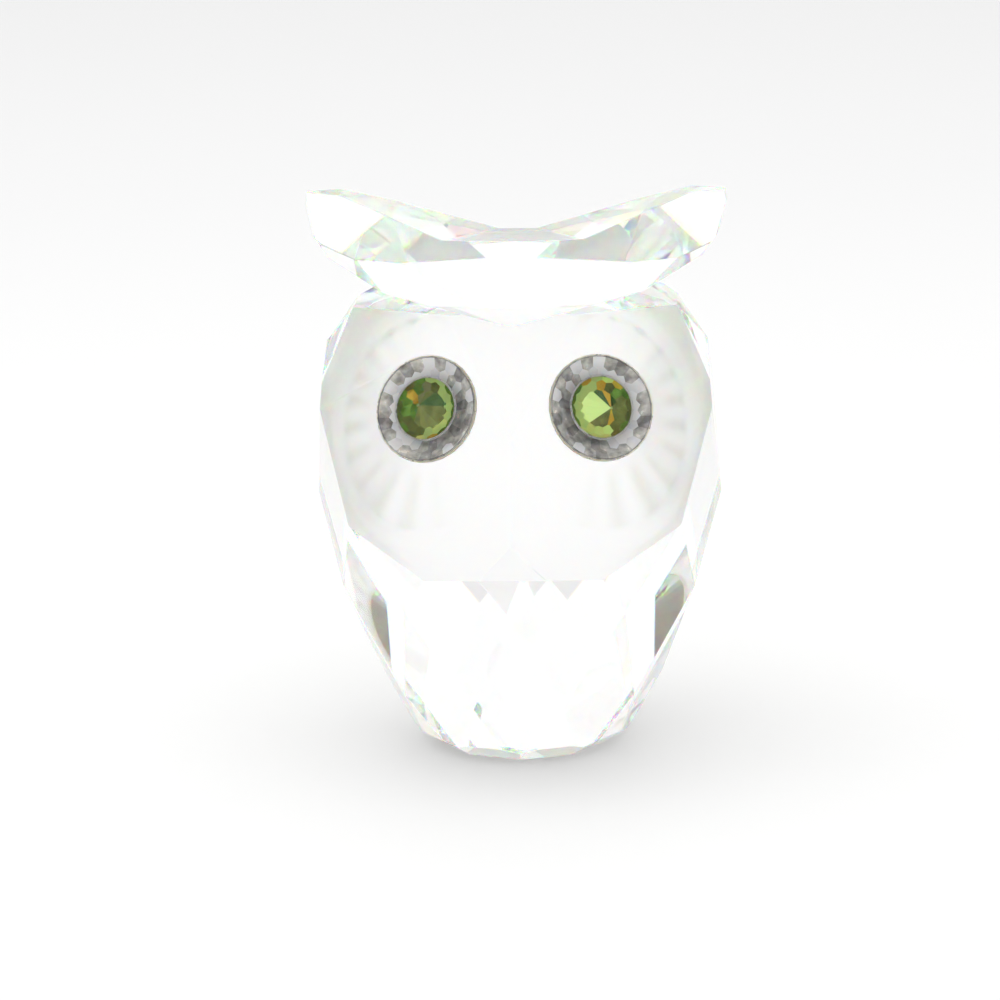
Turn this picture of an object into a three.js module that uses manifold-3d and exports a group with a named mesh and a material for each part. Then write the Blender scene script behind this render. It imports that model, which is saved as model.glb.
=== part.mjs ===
// Crystal owl figurine, in millimetres, +Z up, standing on its base facet and facing -Y.
// Body, brow and stones are cut crystal: each is the solid left inside a set of flat facets.
// A facet is given by the way it faces (azimuth round from the front, tilt above level) and
// by one point that it passes through, the way a cutter sets index, angle and depth.

import * as THREE from 'three';
import { mergeVertices } from 'three/addons/utils/BufferGeometryUtils.js';
import Module from 'manifold-3d';

const wasm = await Module();
wasm.setup();

// ---- driving dimensions -------------------------------------------------------------

// Body: rows of kite facets, every row turned half a step from the row before it.
const FACETS_ROUND = 10;
const WAIST_RADIUS = 20.6;
const WAIST_HEIGHT = 26;
const WAIST_FACET_TILT = -5.5;
const LOWER_ROW_TILTS = [-18, -25.5, -31.8];
const UPPER_ROW_TILTS = [4.6, 27, 37];
const CROWN_HEIGHT = 46;
const BASE_RADIUS = 8.4;
const BASE_BEVEL_TILT = -57;

// Face: two planes that meet in an upright ridge, with a small facet at its foot for the
// chin and one above it for the forehead.
const FACE_TURN = 22;
const FACE_TILT = 24;
const FACE_RIDGE = [0, -19.9, 23.4];
const CHIN_TILT = 4;
const CHIN = [0, -19.2, 22];
const FOREHEAD_TILT = 36;
const FOREHEAD = [0, -14.35, 35];

// Brow: one crescent glued on the crown, with a blunt horn at each end.
const BROW_FOOT = CROWN_HEIGHT + 0.3;
const BROW_KEEL = [0.5, -12.9, BROW_FOOT];
const BROW_KEEL_AZIMUTH = 66;
const BROW_BACK = 8;
const BROW_HEIGHT = 56.7;
const VALLEY_FLOOR = [0, -7.8, 53.8];
const VALLEY_SIDE = [7.6, -7, 53.7];

// Eyes: round stones let into the face planes, standing a little proud of them.
const EYE_X = 8.7;
const EYE_HEIGHT = 37.2;
const EYE_STONE = { radius: 5.2, sides: 28, girdle: 0.6, pavilionTilt: 41, culetDepth: 4.2 };
const EYE_PROUD = 0.35;

// Pupils: smaller coloured stones with a table and a low crown, let into the eye stones.
const PUPIL_STONE = { radius: 3.1, sides: 16, girdle: 0.15, pavilionTilt: 41, culetDepth: 2.5 };
const PUPIL_CROWN_ANGLE = 30;
const PUPIL_CROWN = 0.3;

// Layers behind a stone, as distances out from its back: foil, then glue, then the seat.
const EYE_LAYERS = { foilIn: 0.03, foilOut: 0.09, glueIn: 0.11, glueOut: 0.21, seat: 0.24 };
const PUPIL_LAYERS = { foilIn: 0.03, foilOut: 0.09, glueIn: 0.11, glueOut: 0.17, seat: 0.2 };
const BROW_GLUE_GAP = 0.04;
const OPEN_TOP = 4;

const STEP = 360 / FACETS_ROUND;
const DEGREE = Math.PI / 180;

// ---- materials ----------------------------------------------------------------------

function material(color, roughness, metalness) {
  return new THREE.MeshStandardMaterial({ color, roughness, metalness });
}

const clearCrystal = () => material(0xf4f7f6, 0.03, 0);
const greenCrystal = () => material(0x8fcb4a, 0.03, 0);
const silverFoil = () => material(0xb9b6ae, 0.2, 1);
const clearGlue = () => material(0xe9dca8, 0.3, 0);

// ---- cutting a solid out of flat facets ---------------------------------------------

// The way a facet faces: azimuth 0 is the front (-Y), 90 is +X; tilt is above level.
function facing(azimuth, tilt) {
  const a = azimuth * DEGREE;
  const t = tilt * DEGREE;
  return new THREE.Vector3(Math.cos(t) * Math.sin(a), -Math.cos(t) * Math.cos(a), Math.sin(t));
}

function facet(azimuth, tilt, point) {
  const on = new THREE.Vector3(...point);
  return new THREE.Plane().setFromNormalAndCoplanarPoint(facing(azimuth, tilt), on);
}

// A ring of equal facets, each passing the given radius and height on its own azimuth.
function ring(count, tilt, radius, height, phase = 0) {
  return Array.from({ length: count }, (_, i) => {
    const azimuth = phase + (i * 360) / count;
    const out = facing(azimuth, 0).multiplyScalar(radius);
    return facet(azimuth, tilt, [out.x, out.y, height]);
  });
}

// The same facets and their mirror images in the plane X = 0.
function mirrored(facets) {
  const flip = new THREE.Vector3(-1, 1, 1);
  const images = facets.map((f) => new THREE.Plane(f.normal.clone().multiply(flip), f.constant));
  return [...facets, ...images];
}

// The one point where three facets meet, or null if there is none.
function meetingPoint(p, q, r) {
  const qr = new THREE.Vector3().crossVectors(q.normal, r.normal);
  const volume = p.normal.dot(qr);
  if (Math.abs(volume) < 1e-6) return null;
  const point = qr.multiplyScalar(-p.constant);
  point.addScaledVector(new THREE.Vector3().crossVectors(r.normal, p.normal), -q.constant);
  point.addScaledVector(new THREE.Vector3().crossVectors(p.normal, q.normal), -r.constant);
  return point.divideScalar(volume);
}

function cornersInside(facets) {
  const corners = [];
  for (let i = 0; i < facets.length; i += 1) {
    for (let j = i + 1; j < facets.length; j += 1) {
      for (let k = j + 1; k < facets.length; k += 1) {
        const point = meetingPoint(facets[i], facets[j], facets[k]);
        const kept = point && facets.every((f) => f.distanceToPoint(point) < 1e-6);
        if (kept && !corners.some((c) => c.distanceTo(point) < 1e-3)) corners.push(point);
      }
    }
  }
  return corners;
}

// The closed solid inside all the facets: each facet's corners, joined as one flat fan.
function cutSolid(facets) {
  const corners = cornersInside(facets);
  const triangles = [];
  for (const f of facets) {
    const onFacet = corners.filter((c) => Math.abs(f.distanceToPoint(c)) < 1e-3);
    if (onFacet.length < 3) continue;
    const middle = new THREE.Vector3();
    onFacet.forEach((c) => middle.addScaledVector(c, 1 / onFacet.length));
    const across = onFacet[0].clone().sub(middle).normalize();
    const along = new THREE.Vector3().crossVectors(f.normal, across);
    const turn = (c) => {
      const out = c.clone().sub(middle);
      return Math.atan2(out.dot(along), out.dot(across));
    };
    const round = onFacet.sort((a, b) => turn(a) - turn(b)).map((c) => corners.indexOf(c));
    for (let i = 1; i + 1 < round.length; i += 1) triangles.push(round[0], round[i], round[i + 1]);
  }
  const numbers = corners.flatMap((c) => c.toArray());
  const geometry = new THREE.BufferGeometry();
  geometry.setAttribute('position', new THREE.Float32BufferAttribute(numbers, 3));
  geometry.setIndex(triangles);
  return geometry;
}

// ---- cutting one solid with another -------------------------------------------------

function toManifold(geometry) {
  const bare = mergeVertices(geometry, 1e-5);
  return new wasm.Manifold(new wasm.Mesh({
    numProp: 3,
    vertProperties: new Float32Array(bare.attributes.position.array),
    triVerts: new Uint32Array(bare.index.array),
  }));
}

function fromManifold(solid) {
  const mesh = solid.getMesh();
  const geometry = new THREE.BufferGeometry();
  geometry.setAttribute('position', new THREE.BufferAttribute(mesh.vertProperties, 3));
  geometry.setIndex(new THREE.BufferAttribute(mesh.triVerts, 1));
  return geometry;
}

function subtract(geometry, ...tools) {
  const solid = tools.reduce((left, tool) => left.subtract(toManifold(tool)), toManifold(geometry));
  return fromManifold(solid);
}

// ---- body ---------------------------------------------------------------------------

// Rows stacked away from the waist. A row's facets pass through the corners where the two
// rows before it close, so that every corner of the cut is shared by four kites.
function rowsFromWaist(tilts) {
  const slope = (tilt) => -Math.tan(tilt * DEGREE);
  const half = Math.cos((STEP / 2) * DEGREE);
  const facets = [];
  let before = { slope: slope(WAIST_FACET_TILT), radius: WAIST_RADIUS * half, height: WAIST_HEIGHT };
  let now = { slope: slope(tilts[0]), radius: WAIST_RADIUS, height: WAIST_HEIGHT };
  tilts.forEach((tilt, row) => {
    facets.push(...ring(FACETS_ROUND, tilt, now.radius, now.height, row % 2 === 0 ? STEP / 2 : 0));
    const beforeAtGround = before.radius - before.slope * before.height;
    const edgeAtGround = (now.radius - now.slope * now.height) / half;
    const height = (edgeAtGround - beforeAtGround) / (before.slope - now.slope / half);
    const radius = beforeAtGround + before.slope * height;
    before = now;
    now = { slope: slope(tilts[row + 1] ?? 0), radius, height };
  });
  return facets;
}

const facePlane = facet(FACE_TURN, FACE_TILT, FACE_RIDGE);

function bodyGeometry(seats) {
  const waist = WAIST_RADIUS * Math.cos((STEP / 2) * DEGREE);
  const cut = cutSolid([
    ...ring(FACETS_ROUND, WAIST_FACET_TILT, waist, WAIST_HEIGHT),
    ...rowsFromWaist(LOWER_ROW_TILTS),
    ...rowsFromWaist(UPPER_ROW_TILTS),
    ...ring(FACETS_ROUND, BASE_BEVEL_TILT, BASE_RADIUS, 0, STEP / 2),
    ...mirrored([facePlane]),
    facet(0, CHIN_TILT, CHIN),
    facet(0, FOREHEAD_TILT, FOREHEAD),
    facet(0, 90, [0, 0, CROWN_HEIGHT]),
    facet(0, -90, [0, 0, 0]),
  ]);
  return subtract(cut, ...seats);
}

// ---- brow ---------------------------------------------------------------------------

function browBlank() {
  return cutSolid([
    ...mirrored([
      // front, from the lower band up to the top
      facet(24, 6, [0, -12.9, BROW_FOOT]),
      facet(26, 30, [0, -12.6, BROW_FOOT + 2]),
      facet(12, 46, VALLEY_FLOOR),
      // underside, from the keel out to the horn
      facet(BROW_KEEL_AZIMUTH, -77, BROW_KEEL),
      facet(76, -60, [15.6, -6, 49.7]),
      facet(82, -38, [18.9, -4.7, 51.6]),
      facet(85, -14, [20.4, -3.9, 54.3]),
      // blunt end of the horn, and the back of it
      facet(86, 6, [20.8, -3, 56.5]),
      facet(166, 6, [0, 10.2, BROW_FOOT]),
    ]),
    facet(180, 12, [0, BROW_BACK, BROW_FOOT]),
    facet(0, 90, [0, 0, BROW_HEIGHT]),
    facet(0, -90, [0, 0, BROW_FOOT]),
  ]);
}

// The hollow between the horns, cut straight through from front to back.
function browValley() {
  const clear = 40;
  return cutSolid([
    facet(0, -83, VALLEY_FLOOR),
    ...mirrored([facet(90, -73.5, VALLEY_SIDE)]),
    facet(0, 90, [0, 0, BROW_HEIGHT + clear]),
    facet(0, 0, [0, -clear, 0]),
    facet(180, 0, [0, clear, 0]),
  ]);
}

// The glue film fills the flat where the brow's foot and the crown facet face each other.
function browGlueGeometry() {
  const inset = 0.4;
  return cutSolid([
    ...mirrored([
      facet(FACE_TURN, 0, [0, -8.5, 0]),
      facet(BROW_KEEL_AZIMUTH, 0, [BROW_KEEL[0] - inset, BROW_KEEL[1], 0]),
    ]),
    facet(0, 0, [0, -6, 0]),
    facet(180, 0, [0, BROW_BACK - inset, 0]),
    facet(0, 90, [0, 0, BROW_FOOT - BROW_GLUE_GAP]),
    facet(0, -90, [0, 0, CROWN_HEIGHT + BROW_GLUE_GAP]),
  ]);
}

// ---- stones and what is behind them -------------------------------------------------
// A stone is drawn looking up +Z, with the top of its girdle at height 0.

// Girdle and pavilion grown outwards by the given distance.
function stoneBack(stone, grow) {
  const lean = stone.pavilionTilt * DEGREE;
  const pavilionDrop = stone.girdle + grow * Math.tan(lean / 2);
  return [
    ...ring(stone.sides, 0, stone.radius + grow, 0),
    ...ring(stone.sides, stone.pavilionTilt - 90, stone.radius + grow, -pavilionDrop, 180 / stone.sides),
    facet(0, -90, [0, 0, -stone.culetDepth - grow]),
  ];
}

function solidTo(height, stone, grow) {
  return cutSolid([...stoneBack(stone, grow), facet(0, 90, [0, 0, height])]);
}

// A cup open at the top: the layer between two distances from the stone's back.
function cup(stone, inner, outer, rim) {
  return subtract(solidTo(rim, stone, outer), solidTo(OPEN_TOP, stone, inner));
}

function eyeStoneGeometry() {
  return subtract(solidTo(0, EYE_STONE, 0), solidTo(OPEN_TOP, PUPIL_STONE, PUPIL_LAYERS.seat));
}

function pupilStoneGeometry() {
  const { sides, radius } = PUPIL_STONE;
  const crown = ring(sides, 90 - PUPIL_CROWN_ANGLE, radius, 0, 180 / sides);
  return cutSolid([...stoneBack(PUPIL_STONE, 0), ...crown, facet(0, 90, [0, 0, PUPIL_CROWN])]);
}

// ---- assembly -----------------------------------------------------------------------

const owl = new THREE.Group();

function add(parent, name, geometry, look) {
  const mesh = new THREE.Mesh(geometry, look);
  mesh.name = name;
  parent.add(mesh);
  return mesh;
}

// The frame of one eye: its centre on the face plane, looking out along the plane's normal.
function eyeFrame(side) {
  const n = facePlane.normal;
  const y = -(facePlane.constant + n.x * EYE_X + n.z * EYE_HEIGHT) / n.y;
  const out = new THREE.Vector3(side * n.x, n.y, n.z);
  const frame = new THREE.Group();
  frame.position.set(side * EYE_X, y, EYE_HEIGHT).addScaledVector(out, EYE_PROUD);
  frame.quaternion.setFromUnitVectors(new THREE.Vector3(0, 0, 1), out);
  return frame;
}

function addEye(name, side) {
  const eye = EYE_LAYERS;
  const pupil = PUPIL_LAYERS;
  const frame = eyeFrame(side);
  add(frame, `${name}_eye_stone`, eyeStoneGeometry(), clearCrystal());
  add(frame, `${name}_eye_foil`, cup(EYE_STONE, eye.foilIn, eye.foilOut, -0.1), silverFoil());
  add(frame, `${name}_eye_glue`, cup(EYE_STONE, eye.glueIn, eye.glueOut, -0.2), clearGlue());
  add(frame, `${name}_pupil_stone`, pupilStoneGeometry(), greenCrystal());
  add(frame, `${name}_pupil_foil`, cup(PUPIL_STONE, pupil.foilIn, pupil.foilOut, -0.02), silverFoil());
  add(frame, `${name}_pupil_glue`, cup(PUPIL_STONE, pupil.glueIn, pupil.glueOut, -0.03), clearGlue());
  owl.add(frame);
  const seat = solidTo(OPEN_TOP, EYE_STONE, eye.seat);
  frame.updateMatrix();
  return seat.applyMatrix4(frame.matrix);
}

const seats = [addEye('left', -1), addEye('right', 1)];
add(owl, 'body_crystal', bodyGeometry(seats), clearCrystal());
add(owl, 'brow_crystal', subtract(browBlank(), browValley()), clearCrystal());
add(owl, 'brow_glue', browGlueGeometry(), clearGlue());

export default owl;
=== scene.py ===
"""Looks for the crystal owl: cut crystal, ground face, foil-backed stones, studio.

Lengths in this file are in millimetres and are turned into metres with MM when a mesh is made.
"""

import itertools
import math

import bmesh
import bpy
import numpy as np
from mathutils import Matrix, Vector
from mathutils.geometry import delaunay_2d_cdt


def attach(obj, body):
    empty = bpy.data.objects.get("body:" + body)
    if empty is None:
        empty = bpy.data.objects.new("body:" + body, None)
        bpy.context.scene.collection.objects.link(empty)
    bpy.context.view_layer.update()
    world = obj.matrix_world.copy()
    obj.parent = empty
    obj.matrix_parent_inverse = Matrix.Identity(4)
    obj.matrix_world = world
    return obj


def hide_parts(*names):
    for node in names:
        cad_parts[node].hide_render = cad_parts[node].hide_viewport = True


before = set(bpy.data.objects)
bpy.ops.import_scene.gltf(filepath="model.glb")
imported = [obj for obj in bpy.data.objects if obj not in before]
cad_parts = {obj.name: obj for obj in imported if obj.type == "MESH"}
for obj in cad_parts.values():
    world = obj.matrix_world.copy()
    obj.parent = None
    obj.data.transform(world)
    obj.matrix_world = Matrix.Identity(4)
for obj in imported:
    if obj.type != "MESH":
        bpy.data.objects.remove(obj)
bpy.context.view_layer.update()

MM = 0.001
scene = bpy.context.scene

# ---- camera ---------------------------------------------------------------------------

CAMERA_AZIMUTH = math.radians(2.7)
CAMERA_ELEVATION = math.radians(18)
CAMERA_ROLL = math.radians(1.15)
CAMERA_DISTANCE = 508.65
CAMERA_LENS = 176.4
AIM_RIGHT, AIM_UP = -2.08, 24.23


def towards(azimuth, elevation):
    """The unit vector that points out at this azimuth round from the front (-Y) and elevation."""
    flat = math.cos(elevation)
    return Vector((math.sin(azimuth) * flat, -math.cos(azimuth) * flat, math.sin(elevation)))


def add_camera():
    back = towards(CAMERA_AZIMUTH, CAMERA_ELEVATION)
    right = Vector((math.cos(CAMERA_AZIMUTH), math.sin(CAMERA_AZIMUTH), 0))
    up = back.cross(right)
    place = back * CAMERA_DISTANCE
    look = right * AIM_RIGHT + up * AIM_UP - place
    turn = look.to_track_quat("-Z", "Y").to_matrix().to_4x4()
    turn = turn @ Matrix.Rotation(-CAMERA_ROLL, 4, "Z")
    data = bpy.data.cameras.new("camera")
    data.lens = CAMERA_LENS
    data.sensor_width = 36
    data.clip_start = 0.01
    data.clip_end = 10
    camera = bpy.data.objects.new("camera", data)
    camera.matrix_world = Matrix.Translation(place * MM) @ turn
    scene.collection.objects.link(camera)
    scene.camera = camera


add_camera()

# ---- node helpers ---------------------------------------------------------------------


class Nodes:
    """The node tree of a material or world, with short calls to add and join nodes."""

    def __init__(self, material):
        material.use_nodes = True
        self.tree = material.node_tree
        self.tree.nodes.clear()

    def add(self, kind, **sockets):
        node = self.tree.nodes.new(kind)
        for key, value in sockets.items():
            self.put(node, key, value)
        return node

    def put(self, node, key, value):
        if key in node.inputs:
            self.feed(value, node.inputs[key])
        else:
            setattr(node, key, value)

    def feed(self, value, socket):
        if isinstance(value, bpy.types.NodeSocket):
            self.tree.links.new(value, socket)
        elif isinstance(value, bpy.types.Node):
            self.tree.links.new(value.outputs[0], socket)
        else:
            socket.default_value = value

    def position(self):
        return self.add("ShaderNodeTexCoord").outputs["Object"]

    def noise(self, scale, detail):
        sockets = {"Vector": self.position(), "Scale": scale, "Detail": detail}
        return self.add("ShaderNodeTexNoise", **sockets).outputs[0]

    def ranged(self, value, low, high, start=0.3, end=0.7):
        """Carries start..end of the value over to low..high."""
        node = self.add("ShaderNodeMapRange")
        keys = ("Value", "From Min", "From Max", "To Min", "To Max")
        for key, number in zip(keys, (value, start, end, low, high)):
            self.feed(number, node.inputs[key])
        return node.outputs[0]

    def ramp(self, value, *stops):
        node = self.add("ShaderNodeValToRGB")
        self.feed(value, node.inputs[0])
        marks = node.color_ramp.elements
        while len(marks) < len(stops):
            marks.new(0.5)
        for mark, (place, colour) in zip(marks, stops):
            mark.position = place
            mark.color = (*colour, 1)
        return node.outputs[0]

    def bump(self, height, distance, strength=1.0):
        node = self.add("ShaderNodeBump", Height=height, Distance=distance, Strength=strength)
        return node.outputs[0]

    def finish(self, shader):
        out = self.add("ShaderNodeOutputMaterial")
        self.feed(shader, out.inputs["Surface"])


def new_material(name):
    material = bpy.data.materials.new(name)
    return material, Nodes(material)


# ---- materials ------------------------------------------------------------------------

CRYSTAL_IOR = 1.56
# The foiled stones bend light less than the crystal does, so that their foils are seen bright.
RING_IOR = 1.08
PUPIL_IOR = 1.3
POLISH = (0.0, 0.006)
CEMENT_IOR = 1.5
FOIL_METALLIC = 0.45
# Part of the red and of the blue light bends a little less or more than the rest.
MAIN_SHARE = 0.65
PRIMARIES = (
    ((1 - MAIN_SHARE, 0, 0), -0.007),
    ((MAIN_SHARE, 1, MAIN_SHARE), 0.0),
    ((0, 0, 1 - MAIN_SHARE), 0.011),
)


def crystal(name, tint, wave_height, wave_scale, ior):
    """Cut crystal: the colours bend by slightly different amounts, which gives the fire."""
    material, n = new_material(name)
    polish = n.bump(n.noise(wave_scale, 2), wave_height)
    smudge = n.ranged(n.noise(220, 4), *POLISH)
    whole = None
    for primary, spread in PRIMARIES:
        colour = tuple(p * t for p, t in zip(primary, tint))
        glass = n.add("ShaderNodeBsdfGlass", Color=(*colour, 1), IOR=ior + spread, Normal=polish)
        n.feed(smudge, glass.inputs["Roughness"])
        if whole is None:
            whole = glass
            continue
        both = n.add("ShaderNodeAddShader")
        n.feed(whole, both.inputs[0])
        n.feed(glass, both.inputs[1])
        whole = both
    n.finish(whole)
    return material


def frosted_crystal():
    """Ground face: rough glass tinted by painted shading that follows the relief."""
    material, n = new_material("ground_crystal")
    painted_shading = n.add("ShaderNodeAttribute", attribute_name="painted_shading").outputs["Fac"]
    grain = n.noise(2600, 4)
    cloud = n.noise(160, 5)
    # Painted shading: olive where the relief is in painted shade, white where it is lit.
    olive, pale, white = (0.50, 0.51, 0.41), (0.78, 0.785, 0.72), (1, 1, 1)
    colour = n.ramp(painted_shading, (0.0, olive), (0.5, pale), (1.0, white))
    mottled = n.add("ShaderNodeMix", data_type="RGBA", blend_type="MULTIPLY")
    n.feed(n.ranged(cloud, 0.0, 0.25), mottled.inputs[0])
    n.feed(colour, mottled.inputs[6])
    n.feed((0.93, 0.93, 0.92, 1), mottled.inputs[7])
    glass = n.add("ShaderNodeBsdfPrincipled", IOR=CRYSTAL_IOR)
    n.feed(n.bump(grain, 0.02 * MM, 0.6), glass.inputs["Normal"])
    glass.inputs["Transmission Weight"].default_value = 1.0
    n.feed(mottled.outputs[2], glass.inputs["Base Color"])
    n.feed(n.ranged(grain, 0.42, 0.56), glass.inputs["Roughness"])
    n.finish(glass)
    return material


def metal(name, colour, low, high, spread=0.25, metallic=FOIL_METALLIC):
    """A foil of this colour with lighter and darker patches."""
    material, n = new_material(name)
    patch = n.noise(900, 5)
    shader = n.add("ShaderNodeBsdfPrincipled", Metallic=metallic)
    dark = tuple(c * (1 - spread) for c in colour)
    light = tuple(min(c * (1 + spread), 0.98) for c in colour)
    n.feed(n.ramp(patch, (0.38, dark), (0.62, light)), shader.inputs["Base Color"])
    n.feed(n.ranged(patch, low, high), shader.inputs["Roughness"])
    n.feed(n.bump(n.noise(2500, 3), 0.004 * MM, 0.4), shader.inputs["Normal"])
    n.finish(shader)
    return material


def cement(name, thin, thick, clearness):
    """Set cement, from its colour where it is thin to where it is thick."""
    material, n = new_material(name)
    patch = n.noise(700, 4)
    shader = n.add("ShaderNodeBsdfPrincipled", IOR=CEMENT_IOR)
    shader.inputs["Transmission Weight"].default_value = clearness
    n.feed(n.ramp(patch, (0.3, thin), (0.7, thick)), shader.inputs["Base Color"])
    n.feed(n.ranged(patch, 0.22, 0.4), shader.inputs["Roughness"])
    n.feed(n.bump(n.noise(1500, 3), 0.02 * MM, 0.5), shader.inputs["Normal"])
    n.finish(shader)
    return material


clear = crystal("clear_crystal_cut", (1, 1, 1), 0.0015 * MM, 90, CRYSTAL_IOR)
ring_glass = crystal("eye_crystal_cut", (1, 1, 1), 0.001 * MM, 300, RING_IOR)
green = crystal("green_crystal_cut", (0.87, 1.0, 0.64), 0.001 * MM, 300, PUPIL_IOR)
ground = frosted_crystal()
foil_edge = metal("foil_edge", (0.50, 0.49, 0.46), 0.2, 0.4)
# Ring foils: the foil behind the eye stones, whose white, pale, grey and dark tones paint the light
# and dark reflections the stones show.
RING_FOIL_PAINTED_REFLECTIONS = {
    "white": metal("ring_foil_white", (0.99, 0.99, 0.99), 0.05, 0.2, 0.01, 0.0),
    "pale": metal("ring_foil_painted_pale", (0.93, 0.93, 0.96), 0.05, 0.2, 0.06, 0.1),
    "grey": metal("ring_foil_painted_grey", (0.70, 0.69, 0.65), 0.1, 0.3, 0.35, 0.3),
    "dark": metal("ring_foil_painted_dark", (0.46, 0.45, 0.44), 0.1, 0.3, 0.35, 0.3),
}
# Pupil foils: green is the stones' own colour, seen plainest in leaf; lime is a painted highlight,
# olive, smoke and night are painted dark reflections, and amber is a painted orange glint.
PUPIL_FOIL_PAINTED_REFLECTIONS = {
    "lime": metal("pupil_foil_painted_lime_highlight", (0.96, 0.98, 0.84), 0.08, 0.2, 0.02),
    "leaf": metal("pupil_foil_leaf", (0.21, 0.31, 0.14), 0.1, 0.25),
    "olive": metal("pupil_foil_painted_olive", (0.23, 0.195, 0.16), 0.1, 0.25),
    "smoke": metal("pupil_foil_painted_smoke_reflection", (0.42, 0.33, 0.44), 0.1, 0.25, 0.15),
    "night": metal("pupil_foil_painted_night_reflection", (0.09, 0.13, 0.12), 0.1, 0.25),
    "amber": metal("pupil_foil_painted_amber_glint", (0.98, 0.46, 0.16), 0.08, 0.2, 0.15),
}
glue = cement("cement_amber", (0.98, 0.95, 0.82), (0.95, 0.88, 0.66), 0.6)
clear_glue = cement("cement_clear", (0.97, 0.97, 0.95), (0.92, 0.92, 0.88), 0.9)

# ---- mesh helpers ---------------------------------------------------------------------

WELD = 0.002
FLAT = math.radians(0.2)


def new_piece(name, mesh, node):
    """A visible piece that stands in for this CAD node."""
    piece = bpy.data.objects.new(name, mesh)
    scene.collection.objects.link(piece)
    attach(piece, "root")
    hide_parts(node)


def cleaned(node):
    """A bmesh copy of a CAD node with its triangles joined back into flat facets."""
    bm = bmesh.new()
    bm.from_mesh(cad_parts[node].data)
    bmesh.ops.remove_doubles(bm, verts=bm.verts, dist=WELD * MM)
    bmesh.ops.dissolve_limit(bm, angle_limit=FLAT, verts=bm.verts, edges=bm.edges)
    return bm


def soften(bm, edges, width):
    """A polisher's hair-thin bevel on these edges."""
    bmesh.ops.bevel(
        bm, geom=edges, offset=width * MM, segments=1, affect="EDGES", clamp_overlap=True
    )


def smoothstep(low, high, value):
    """0 up to low, 1 from high on, and smooth between; falls instead where low is over high."""
    t = np.clip((value - low) / (high - low), 0, 1)
    return t * t * (3 - 2 * t)


# ---- body: cut facets, with the face planes, chin and forehead ground -------------------

FACE_TURN = math.radians(22)
FACE_TILT = math.radians(24)
CHIN_TILT, CHIN = math.radians(4), (0, -19.2, 22)
FOREHEAD_TILT, FOREHEAD = math.radians(36), (0, -14.35, 35)
# Edges and facets smaller than these stay sharp.
BODY_BEVEL, BEVELLED_LENGTH, BEVELLED_AREA = 0.05, 0.8, 1.5
SAME_WAY = 0.9999
GROUND = 1
# The relief: a bowl round each eye, out to a rim that is widest below, with radial grooves.
RELIEF_STEP = 0.24
PETAL_STEP = 18
RIM_RADIUS, RIM_LOWER, RIM_UPPER = 9.3, 3.4, 0.5
BOWL_DEPTH, GROOVE_DEPTH, OUTER_DEPTH = 0.06, 0.17, 0.22
# Painted shading on the ground face: painted shade darkens the outer cheeks, the grooves and the
# band outside the rim; a painted highlight lightens the rim.
CHEEK_PAINTED_SHADE, GROOVE_PAINTED_SHADE, OUTER_PAINTED_SHADE, RIM_PAINTED_HIGHLIGHT = 0.20, 0.52, 0.18, 0.1
EYE_RADIUS = 5.2
EYE_PROUD = 0.35
SIDES = {"left": -1, "right": 1}


def eye_frame(name):
    """The eye's own frame, from its front: x across the face plane to +X, y up it, z out."""
    n = towards(SIDES[name] * FACE_TURN, FACE_TILT)
    up = (Vector((0, 0, 1)) - n * n.z).normalized()
    across = up.cross(n)
    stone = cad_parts[f"{name}_eye_stone"].data
    top = max(v.co.dot(n) for v in stone.vertices)
    front = [v.co for v in stone.vertices if v.co.dot(n) > top - 0.01 * MM]
    rim = {tuple(round(c, 6) for c in co) for co in front}
    middle = sum((Vector(co) for co in rim), Vector()) / len(rim)
    matrix = Matrix((across, up, n)).transposed().to_4x4()
    matrix.translation = middle
    return matrix


EYE_FRAMES = {name: eye_frame(name) for name in SIDES}


def relief(x, y, side):
    """Depth in mm below the face plane, and painted shading from 0 (dark) to 1 (white), round one
    eye.

    Angles are in degrees below the outward direction.
    """
    out = x * side
    radius = np.hypot(x, y)
    below = np.degrees(np.arctan2(-y, out))
    rim = RIM_RADIUS + RIM_LOWER * smoothstep(5, 95, below) + RIM_UPPER * smoothstep(20, 80, -below)
    reach = smoothstep(120, 88, below) * smoothstep(-112, -64, below)
    petal = 0.5 + 0.5 * np.cos(np.radians(below * 360 / PETAL_STEP))
    along = smoothstep(5.7, 7.9, radius) * smoothstep(rim - 0.2, rim - 0.8, radius)
    groove = reach * petal**1.3 * along
    bowl = reach * smoothstep(5.6, 7.2, radius) * smoothstep(rim, rim - 0.9, radius)
    outside = smoothstep(rim + 0.35, rim + 1.5, radius)
    outside = outside * smoothstep(112, 72, below) * smoothstep(-70, 0, below)
    depth = BOWL_DEPTH * bowl + GROOVE_DEPTH * groove + OUTER_DEPTH * outside
    # Painted shade: the cheek darkens outward, the grooves and the outer band darken, and a painted
    # highlight lightens the rim.
    cheek_shade_mask = smoothstep(0.0, 8.5, out + 0.25 * np.clip(y, -20, 0))
    edge = reach * smoothstep(0.6, 0.0, np.abs(radius - rim))
    groove_shade_reach = np.maximum(0.25 + 0.55 * cheek_shade_mask, 0.65 * smoothstep(15, 60, below))
    groove_shade_reach = groove_shade_reach * smoothstep(-90, 20, below)
    painted_shading = 1 - CHEEK_PAINTED_SHADE * cheek_shade_mask - GROOVE_PAINTED_SHADE * groove * groove_shade_reach
    painted_shading = painted_shading - OUTER_PAINTED_SHADE * outside * cheek_shade_mask + RIM_PAINTED_HIGHLIGHT * edge
    return depth, np.clip(painted_shading, 0, 1)


def plain(x, y, side):
    """No relief, and white all over."""
    return 0 * x, 0 * x + 1


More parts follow.
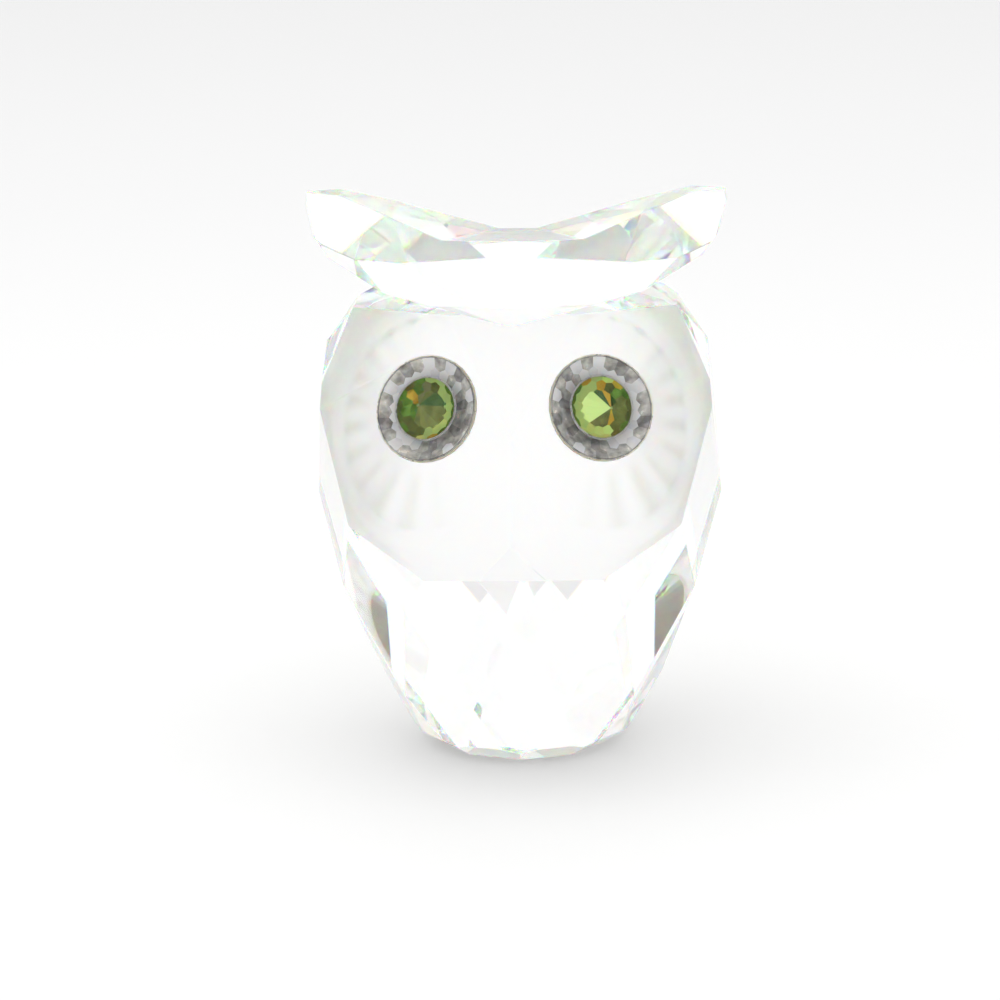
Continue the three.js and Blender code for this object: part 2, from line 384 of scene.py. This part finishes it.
def distance_to_edges(points, starts, ends):
    """From each point, the distance to the nearest of these line pieces, in the plane."""
    along = ends - starts
    reach = points[:, None, :] - starts[None, :, :]
    t = np.clip((reach * along).sum(2) / np.maximum((along * along).sum(1), 1e-12), 0, 1)
    return np.linalg.norm(reach - t[:, :, None] * along, axis=2).min(1)


def inside_outline(points, starts, ends):
    """True for each point that a line from it crosses the outline an odd number of times."""
    x, y = points[:, 0:1], points[:, 1:2]
    crosses = (starts[:, 1] > y) != (ends[:, 1] > y)
    with np.errstate(divide="ignore", invalid="ignore"):
        share = (y - starts[:, 1]) / (ends[:, 1] - starts[:, 1])
        at = starts[:, 0] + share * (ends[:, 0] - starts[:, 0])
    return (crosses & (x < at)).sum(1) % 2 == 1


def rings_of_points(first, last, step):
    """Points on circles round the origin, so that the mesh follows the petals of the relief."""
    rings = []
    for i in range(int((last - first) / step)):
        radius = first + step * (i + 1)
        count = max(20, 20 * round(2 * math.pi * radius / step / 20))
        angles = np.arange(count) * 2 * math.pi / count
        rings.append(np.stack([radius * np.cos(angles), radius * np.sin(angles)], 1))
    return np.concatenate(rings)


def grind(bm, painted_shading, matrix, level, shape, side, spread):
    """Replaces the flat facet at this height over the matrix's XY plane by a fine mesh."""
    inverse = matrix.inverted()
    n = matrix.to_3x3() @ Vector((0, 0, 1))
    flat = [f for f in bm.faces if f.normal.dot(n) > SAME_WAY
            and abs((inverse @ f.calc_center_median()).z - level * MM) < 0.02 * MM]
    chosen = set(flat)
    border = [e for f in flat for e in f.edges if sum(g in chosen for g in e.link_faces) == 1]
    rim = list({v: None for e in border for v in e.verts})
    spot = {v: i for i, v in enumerate(rim)}
    corner = np.array([(inverse @ v.co)[:2] for v in rim]) / MM
    starts = np.array([corner[spot[e.verts[0]]] for e in border])
    ends = np.array([corner[spot[e.verts[1]]] for e in border])
    fill = spread[inside_outline(spread, starts, ends)]
    fill = fill[distance_to_edges(fill, starts, ends) > 0.5 * RELIEF_STEP]
    plan = [Vector(p) for p in np.concatenate([corner, fill])]
    lines = [(spot[e.verts[0]], spot[e.verts[1]]) for e in border]
    made = delaunay_2d_cdt(plan, lines, [], 1, 1e-6)
    points = np.array([tuple(p) for p in made[0]])
    triangles = made[2]
    middles = np.array([points[list(t)].mean(0) for t in triangles])
    keep = inside_outline(middles, starts, ends)
    depth, shade = shape(points[:, 0], points[:, 1], side)
    fade = smoothstep(0.0, 0.7, distance_to_edges(points, starts, ends))
    verts = []
    for i, p in enumerate(points):
        first = made[3][i][0] if made[3][i] else -1
        if 0 <= first < len(rim):
            vert = rim[first]
        else:
            vert = bm.verts.new(matrix @ (Vector((p[0], p[1], level - depth[i] * fade[i])) * MM))
        vert[painted_shading] = shade[i]
        verts.append(vert)
    bmesh.ops.delete(bm, geom=flat, context="FACES_KEEP_BOUNDARY")
    for t, inside in zip(triangles, keep):
        if inside:
            face = bm.faces.new([verts[i] for i in t])
            face.normal_update()
            if face.normal.dot(n) < 0:
                face.normal_flip()
            face.material_index = GROUND
            face.smooth = True


def front_matrix(tilt, point):
    """A frame on the middle plane that faces the front: x to +X, z out of the facet."""
    n = towards(0, tilt)
    across = Vector((1, 0, 0))
    matrix = Matrix((across, n.cross(across), n)).transposed().to_4x4()
    matrix.translation = Vector(point) * MM
    return matrix


def build_body():
    bm = cleaned("body_crystal")
    painted_shading = bm.verts.layers.float.new("painted_shading")
    normals = [towards(side * FACE_TURN, FACE_TILT) for side in SIDES.values()]
    normals += [towards(0, CHIN_TILT), towards(0, FOREHEAD_TILT)]
    polished = [e for e in bm.edges
                if len(e.link_faces) == 2 and e.calc_length() > BEVELLED_LENGTH * MM
                and all(f.calc_area() > BEVELLED_AREA * MM * MM for f in e.link_faces)
                and not any(f.normal.dot(n) > SAME_WAY for f in e.link_faces for n in normals)]
    soften(bm, polished, BODY_BEVEL)
    rings = rings_of_points(EYE_RADIUS, 30, RELIEF_STEP)
    for name, side in SIDES.items():
        grind(bm, painted_shading, EYE_FRAMES[name], -EYE_PROUD, relief, side, rings)
    rings = rings_of_points(0.01, 20, 2 * RELIEF_STEP)
    grind(bm, painted_shading, front_matrix(CHIN_TILT, CHIN), 0, plain, 0, rings)
    grind(bm, painted_shading, front_matrix(FOREHEAD_TILT, FOREHEAD), 0, plain, 0, rings)
    for e in bm.edges:
        e.smooth = {f.material_index for f in e.link_faces} == {GROUND}
    mesh = bpy.data.meshes.new("body_cut")
    bm.to_mesh(mesh)
    bm.free()
    mesh.materials.append(clear)
    mesh.materials.append(ground)
    new_piece("body_cut", mesh, "body_crystal")


build_body()

# ---- brow -----------------------------------------------------------------------------

BROW_BEVEL, BROW_BEVELLED_LENGTH = 0.04, 0.4


def build_brow():
    bm = cleaned("brow_crystal")
    edges = [e for e in bm.edges
             if len(e.link_faces) == 2 and e.calc_length() > BROW_BEVELLED_LENGTH * MM]
    soften(bm, edges, BROW_BEVEL)
    mesh = bpy.data.meshes.new("brow_cut")
    bm.to_mesh(mesh)
    bm.free()
    mesh.materials.append(clear)
    new_piece("brow_cut", mesh, "brow_crystal")


build_brow()

# ---- stones ---------------------------------------------------------------------------

GLASS = "glass"


def plane(azimuth, tilt, point, tag):
    """A facet in a stone's own frame: which way it faces, in degrees, and a point on it."""
    a, t = math.radians(azimuth), math.radians(tilt)
    normal = np.array((math.cos(t) * math.cos(a), math.cos(t) * math.sin(a), math.sin(t)))
    return normal, float(normal @ np.array(point)), tag


def ring(count, tilt, radius, height, phase, tags, side):
    """A ring of facets that pass the given radius and height on their own azimuths.

    Facets and tags are counted from the outer side of the face, up over the top.
    """
    facets = []
    for i in range(count):
        azimuth = phase + i * 360 / count
        if side < 0:
            azimuth = 180 - azimuth
        a = math.radians(azimuth)
        point = (radius * math.cos(a), radius * math.sin(a), height)
        facets.append(plane(azimuth, tilt, point, tags[i % len(tags)]))
    return facets


def cut(facets):
    """Corners, faces and tags of the solid inside all the facets."""
    normals = np.array([f[0] for f in facets])
    offsets = np.array([f[1] for f in facets])
    triples = np.array(list(itertools.combinations(range(len(facets)), 3)))
    squares = normals[triples]
    sound = np.abs(np.linalg.det(squares)) > 1e-7
    triples, squares = triples[sound], squares[sound]
    points = np.linalg.solve(squares, offsets[triples][:, :, None])[:, :, 0]
    points = points[(points @ normals.T <= offsets + 1e-7).all(1)]
    points = np.unique(points.round(6), axis=0)
    faces, tags = [], []
    for normal, offset, tag in facets:
        on = np.flatnonzero(np.abs(points @ normal - offset) < 2e-5)
        if len(on) < 3:
            continue
        reach = points[on] - points[on].mean(0)
        across = reach[0] / np.linalg.norm(reach[0])
        along = np.cross(normal, across)
        order = np.argsort(np.arctan2(reach @ along, reach @ across))
        faces.append(on[order].tolist())
        tags.append(tag)
    return points, faces, tags


def skewed(points, start, depth, skew):
    """Slides what is deeper than start sideways, so that the stone's back point is off centre."""
    share = np.clip((start - points[:, 2]) / (depth - abs(start)), 0, None)
    moved = points.copy()
    moved[:, 0] += share * skew[0]
    moved[:, 1] += share * skew[1]
    return moved


def solid(name, facets, glass, foils, start, skew):
    """A stone whose facets carry either the glass or one of the foils."""
    points, faces, tags = cut(facets)
    points = skewed(points, start, -points[:, 2].min(), skew)
    mesh = bpy.data.meshes.new(name)
    mesh.from_pydata((points * MM).tolist(), [], faces)
    mesh.materials.append(glass)
    for foil in foils.values():
        mesh.materials.append(foil)
    order = [GLASS, *foils]
    for face, tag in zip(mesh.polygons, tags):
        face.material_index = order.index(tag)
    return bpy.data.objects.new(name, mesh)


def carve(piece, tool):
    """Cuts the tool out of the piece; the new walls keep the tool's materials."""
    scene.collection.objects.link(piece)
    scene.collection.objects.link(tool)
    cutter = piece.modifiers.new("carve", "BOOLEAN")
    cutter.object = tool
    cutter.operation = "DIFFERENCE"
    cutter.solver = "EXACT"
    cutter.material_mode = "TRANSFER"
    bpy.context.view_layer.update()
    shaped = piece.evaluated_get(bpy.context.evaluated_depsgraph_get())
    mesh = bpy.data.meshes.new_from_object(shaped)
    piece.modifiers.clear()
    bpy.data.objects.remove(piece)
    bpy.data.objects.remove(tool)
    return mesh


EYE_SIDES, EYE_GIRDLE = 24, 0.30
EYE_UPPER_ANGLE, EYE_LOWER_ANGLE, EYE_LOWER_SHARE = 42, 35.5, 0.8
EYE_SKEW = 0.5
PUPIL_RADIUS, PUPIL_SIDES, PUPIL_GIRDLE = 3.1, 16, 0.04
PUPIL_EDGE_ANGLE, PUPIL_EDGE_SHARE = 46, 0.86
PUPIL_UPPER_ANGLE, PUPIL_LOWER_ANGLE, PUPIL_LOWER_SHARE = 33, 20, 0.60
PUPIL_CROWN, PUPIL_TABLE, PUPIL_RISE = 16, 0.72, 0.2
PUPIL_CROWN_RISE = (1 - PUPIL_TABLE) * PUPIL_RADIUS * math.tan(math.radians(PUPIL_CROWN))
PUPIL_GIRDLE_SIDES = 32
SEAT_RADIUS, SEAT_ANGLE, SEAT_EDGE, SEAT_DEPTH = 3.3, 41, 0.14, 2.7
# Which foil each facet carries, counted round from the outer side of the face, over the top: the
# tables lay out painted reflections, light and dark facet by facet.
RING_LOWER = (
    "white white pale white white white pale white grey pale grey dark "
    "grey grey dark grey grey dark grey pale white white pale white"
).split()
RING_UPPER = (
    "grey pale grey dark grey white grey pale dark grey pale grey "
    "dark grey grey pale grey dark grey grey pale grey dark grey"
).split()
PUPIL_LOWER = {
    "left": "leaf amber smoke olive night night olive olive olive olive olive leaf".split(),
    "right": "olive night amber night lime lime lime lime olive olive amber olive".split(),
}
PUPIL_UPPER = {
    "left": (
        "leaf amber leaf smoke olive lime lime lime "
        "lime lime lime lime olive olive olive leaf"
    ).split(),
    "right": (
        "olive leaf olive amber lime lime lime lime "
        "lime lime lime lime lime olive olive olive"
    ).split(),
}
PUPIL_EDGE = {
    "left": (
        "olive leaf olive leaf lime lime leaf leaf "
        "leaf leaf leaf amber lime olive leaf olive"
    ).split(),
    "right": (
        "olive leaf amber lime lime amber leaf leaf "
        "leaf leaf lime lime lime olive leaf olive"
    ).split(),
}
PUPIL_SKEW = {"left": (1.35, 0.45), "right": (1.4, 0.0)}


def rise_over(run, angle):
    """How far a facet at this angle, in degrees, climbs over this run."""
    return run * math.tan(math.radians(angle))


def eye_facets(side):
    upper_run = (1 - EYE_LOWER_SHARE) * EYE_RADIUS
    drop = EYE_GIRDLE + rise_over(upper_run, EYE_UPPER_ANGLE)
    lower_radius = EYE_LOWER_SHARE * EYE_RADIUS
    half = 180 / EYE_SIDES
    return [
        plane(0, 90, (0, 0, 0), GLASS),
        # The girdle carries the dark foil: a painted shade outline round each eye stone.
        *ring(2 * EYE_SIDES, 0, EYE_RADIUS, 0, 0, ["dark"], side),
        *ring(EYE_SIDES, EYE_UPPER_ANGLE - 90, EYE_RADIUS, -EYE_GIRDLE, half, RING_UPPER, side),
        *ring(EYE_SIDES, EYE_LOWER_ANGLE - 90, lower_radius, -drop, 0, RING_LOWER, side),
    ]


def pupil_depths():
    """How deep the stone is where its second and third rings of facets begin."""
    edge_run = (1 - PUPIL_EDGE_SHARE) * PUPIL_RADIUS
    upper_run = (PUPIL_EDGE_SHARE - PUPIL_LOWER_SHARE) * PUPIL_RADIUS
    second = PUPIL_GIRDLE + rise_over(edge_run, PUPIL_EDGE_ANGLE)
    return second, second + rise_over(upper_run, PUPIL_UPPER_ANGLE)


def pupil_facets(name, side):
    half = 180 / PUPIL_SIDES
    second, third = pupil_depths()
    edge, upper, lower = PUPIL_EDGE[name], PUPIL_UPPER[name], PUPIL_LOWER[name]
    r = PUPIL_RADIUS
    upper_radius, lower_radius = PUPIL_EDGE_SHARE * r, PUPIL_LOWER_SHARE * r
    return [
        plane(0, 90, (0, 0, PUPIL_CROWN_RISE), GLASS),
        *ring(PUPIL_SIDES, 90 - PUPIL_CROWN, r, 0, half, [GLASS], side),
        # The pupil's girdle carries the olive foil: a painted shade round the pupil.
        *ring(PUPIL_GIRDLE_SIDES, 0, r, 0, 0, ["olive"], side),
        *ring(PUPIL_SIDES, PUPIL_EDGE_ANGLE - 90, r, -PUPIL_GIRDLE, 0, edge, side),
        *ring(PUPIL_SIDES, PUPIL_UPPER_ANGLE - 90, upper_radius, -second, half, upper, side),
        *ring(len(lower), PUPIL_LOWER_ANGLE - 90, lower_radius, -third, 0, lower, side),
    ]


def seat_facets(side):
    """The seat of the pupil stone in the eye stone; its top is well clear of the front."""
    # The seat's walls carry white and pale foil, painted reflections, and its floor grey foil,
    # painted shade in the hollow.
    walls = ["white", "pale"]
    return [
        plane(0, 90, (0, 0, 2), GLASS),
        plane(0, -90, (0, 0, -SEAT_DEPTH), "grey"),
        *ring(PUPIL_GIRDLE_SIDES, 0, SEAT_RADIUS, 0, 0, ["pale"], side),
        *ring(PUPIL_SIDES, SEAT_ANGLE - 90, SEAT_RADIUS, -SEAT_EDGE, 0, walls, side),
    ]


def build_eye(name):
    side = SIDES[name]
    eye = EYE_FRAMES[name]
    skew = (side * EYE_SKEW, 0)
    block = solid(f"{name}_eye_block", eye_facets(side), ring_glass, RING_FOIL_PAINTED_REFLECTIONS, -EYE_GIRDLE, skew)
    tool = solid(f"{name}_seat_tool", seat_facets(side), clear, RING_FOIL_PAINTED_REFLECTIONS, -SEAT_EDGE, (0, 0))
    mesh = carve(block, tool)
    mesh.transform(eye)
    mesh.name = f"{name}_eye_cut"
    new_piece(f"{name}_eye_cut", mesh, f"{name}_eye_stone")
    skew = (side * PUPIL_SKEW[name][0], PUPIL_SKEW[name][1])
    start = -pupil_depths()[1]
    facets = pupil_facets(name, side)
    gem = solid(f"{name}_pupil_cut", facets, green, PUPIL_FOIL_PAINTED_REFLECTIONS, start, skew)
    mesh = gem.data
    bpy.data.objects.remove(gem)
    mesh.transform(Matrix.Translation((0, 0, (PUPIL_RISE - PUPIL_CROWN_RISE) * MM)))
    mesh.transform(eye)
    new_piece(f"{name}_pupil_cut", mesh, f"{name}_pupil_stone")


for name in SIDES:
    build_eye(name)

# ---- layers that stay as they are in the CAD --------------------------------------------

for node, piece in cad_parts.items():
    look = None
    if node.endswith("foil"):
        look = foil_edge
    if node.endswith("glue"):
        look = glue if "eye" in node else clear_glue
    if look is not None:
        piece.data.materials.clear()
        piece.data.materials.append(look)

# ---- stage ----------------------------------------------------------------------------

# The floor's radius and the falloff of its painted pool of light are in metres, the gap under the
# owl in millimetres.
# The tent's opening is in degrees.
FLOOR_RADIUS = 2.5
FLOOR_PAINTED_FALLOFF = (0.06, 0.6)
FLOOR_GAP = 0.03
TENT_STRENGTH, OPENING_STRENGTH = 1.08, 0.68
OPENING_ELEVATION, OPENING_OUTER, OPENING_INNER = 17.5, 22, 14


def add_floor():
    """A round card with a painted pool of light round the owl, greyer farther out."""
    bm = bmesh.new()
    bmesh.ops.create_circle(bm, cap_ends=True, segments=96, radius=FLOOR_RADIUS)
    mesh = bpy.data.meshes.new("floor")
    bm.to_mesh(mesh)
    bm.free()
    floor = bpy.data.objects.new("floor", mesh)
    floor.location.z = -FLOOR_GAP * MM
    scene.collection.objects.link(floor)
    material, n = new_material("floor_card")
    away = n.add("ShaderNodeVectorMath", operation="LENGTH")
    n.feed(n.position(), away.inputs[0])
    shader = n.add("ShaderNodeBsdfPrincipled", Roughness=0.6)
    light_falloff = n.ranged(away.outputs["Value"], 0, 1, *FLOOR_PAINTED_FALLOFF)
    # Painted pool of light: near white by the owl, greyer towards the edge of the card.
    near_white, mid_white, far_white = (0.985, 0.985, 0.98), (0.88,) * 3, (0.775,) * 3
    floor_painted_light = n.ramp(light_falloff, (0.0, near_white), (0.4, mid_white), (1.0, far_white))
    n.feed(floor_painted_light, shader.inputs["Base Color"])
    n.feed(n.bump(n.noise(400, 3), 0.05 * MM, 0.3), shader.inputs["Normal"])
    shader.inputs["Specular IOR Level"].default_value = 0.2
    n.finish(shader)
    mesh.materials.append(material)


def add_world():
    """A white light tent with a darker opening on the side that the owl faces."""
    world = bpy.data.worlds.new("tent")
    scene.world = world
    n = Nodes(world)
    direction = n.add("ShaderNodeTexCoord").outputs["Generated"]
    facing = n.add("ShaderNodeVectorMath", operation="DOT_PRODUCT")
    n.feed(direction, facing.inputs[0])
    facing.inputs[1].default_value = towards(0, math.radians(OPENING_ELEVATION))
    opening = n.add("ShaderNodeMapRange", interpolation_type="SMOOTHSTEP")
    n.feed(facing.outputs["Value"], opening.inputs["Value"])
    opening.inputs["From Min"].default_value = math.cos(math.radians(OPENING_OUTER))
    opening.inputs["From Max"].default_value = math.cos(math.radians(OPENING_INNER))
    opening.inputs["To Min"].default_value = TENT_STRENGTH
    opening.inputs["To Max"].default_value = OPENING_STRENGTH
    cloth = n.add("ShaderNodeTexNoise", Scale=2.2, Detail=1.0)
    n.feed(direction, cloth.inputs["Vector"])
    folds = n.ranged(cloth.outputs[0], 0.96, 1.06)
    light = n.add("ShaderNodeMath", operation="MULTIPLY")
    n.feed(folds, light.inputs[0])
    n.feed(opening.outputs[0], light.inputs[1])
    background = n.add("ShaderNodeBackground")
    n.feed(light, background.inputs["Strength"])
    out = n.add("ShaderNodeOutputWorld")
    n.feed(background, out.inputs["Surface"])


def add_lamp(name, place, size, power):
    """A round soft lamp, in metres and watts, that shines on the owl."""
    data = bpy.data.lights.new(name, "AREA")
    data.shape = "DISK"
    data.size = size
    data.energy = power
    lamp = bpy.data.objects.new(name, data)
    lamp.location = place
    aim = Vector((0, 0, 0.03)) - Vector(place)
    lamp.rotation_euler = aim.to_track_quat("-Z", "Y").to_euler()
    scene.collection.objects.link(lamp)


add_floor()
add_world()
add_lamp("key", (-0.35, 0.10, 0.6), 0.5, 0.2)

# ---- render settings that belong to the look ---------------------------------------------

scene.view_settings.view_transform = "Standard"
scene.view_settings.exposure = 0.27
scene.cycles.caustics_refractive = True
scene.cycles.caustics_reflective = True
scene.cycles.max_bounces = 24
scene.cycles.transmission_bounces = 24
scene.cycles.glossy_bounces = 16
scene.cycles.diffuse_bounces = 4
scene.cycles.use_denoising = True
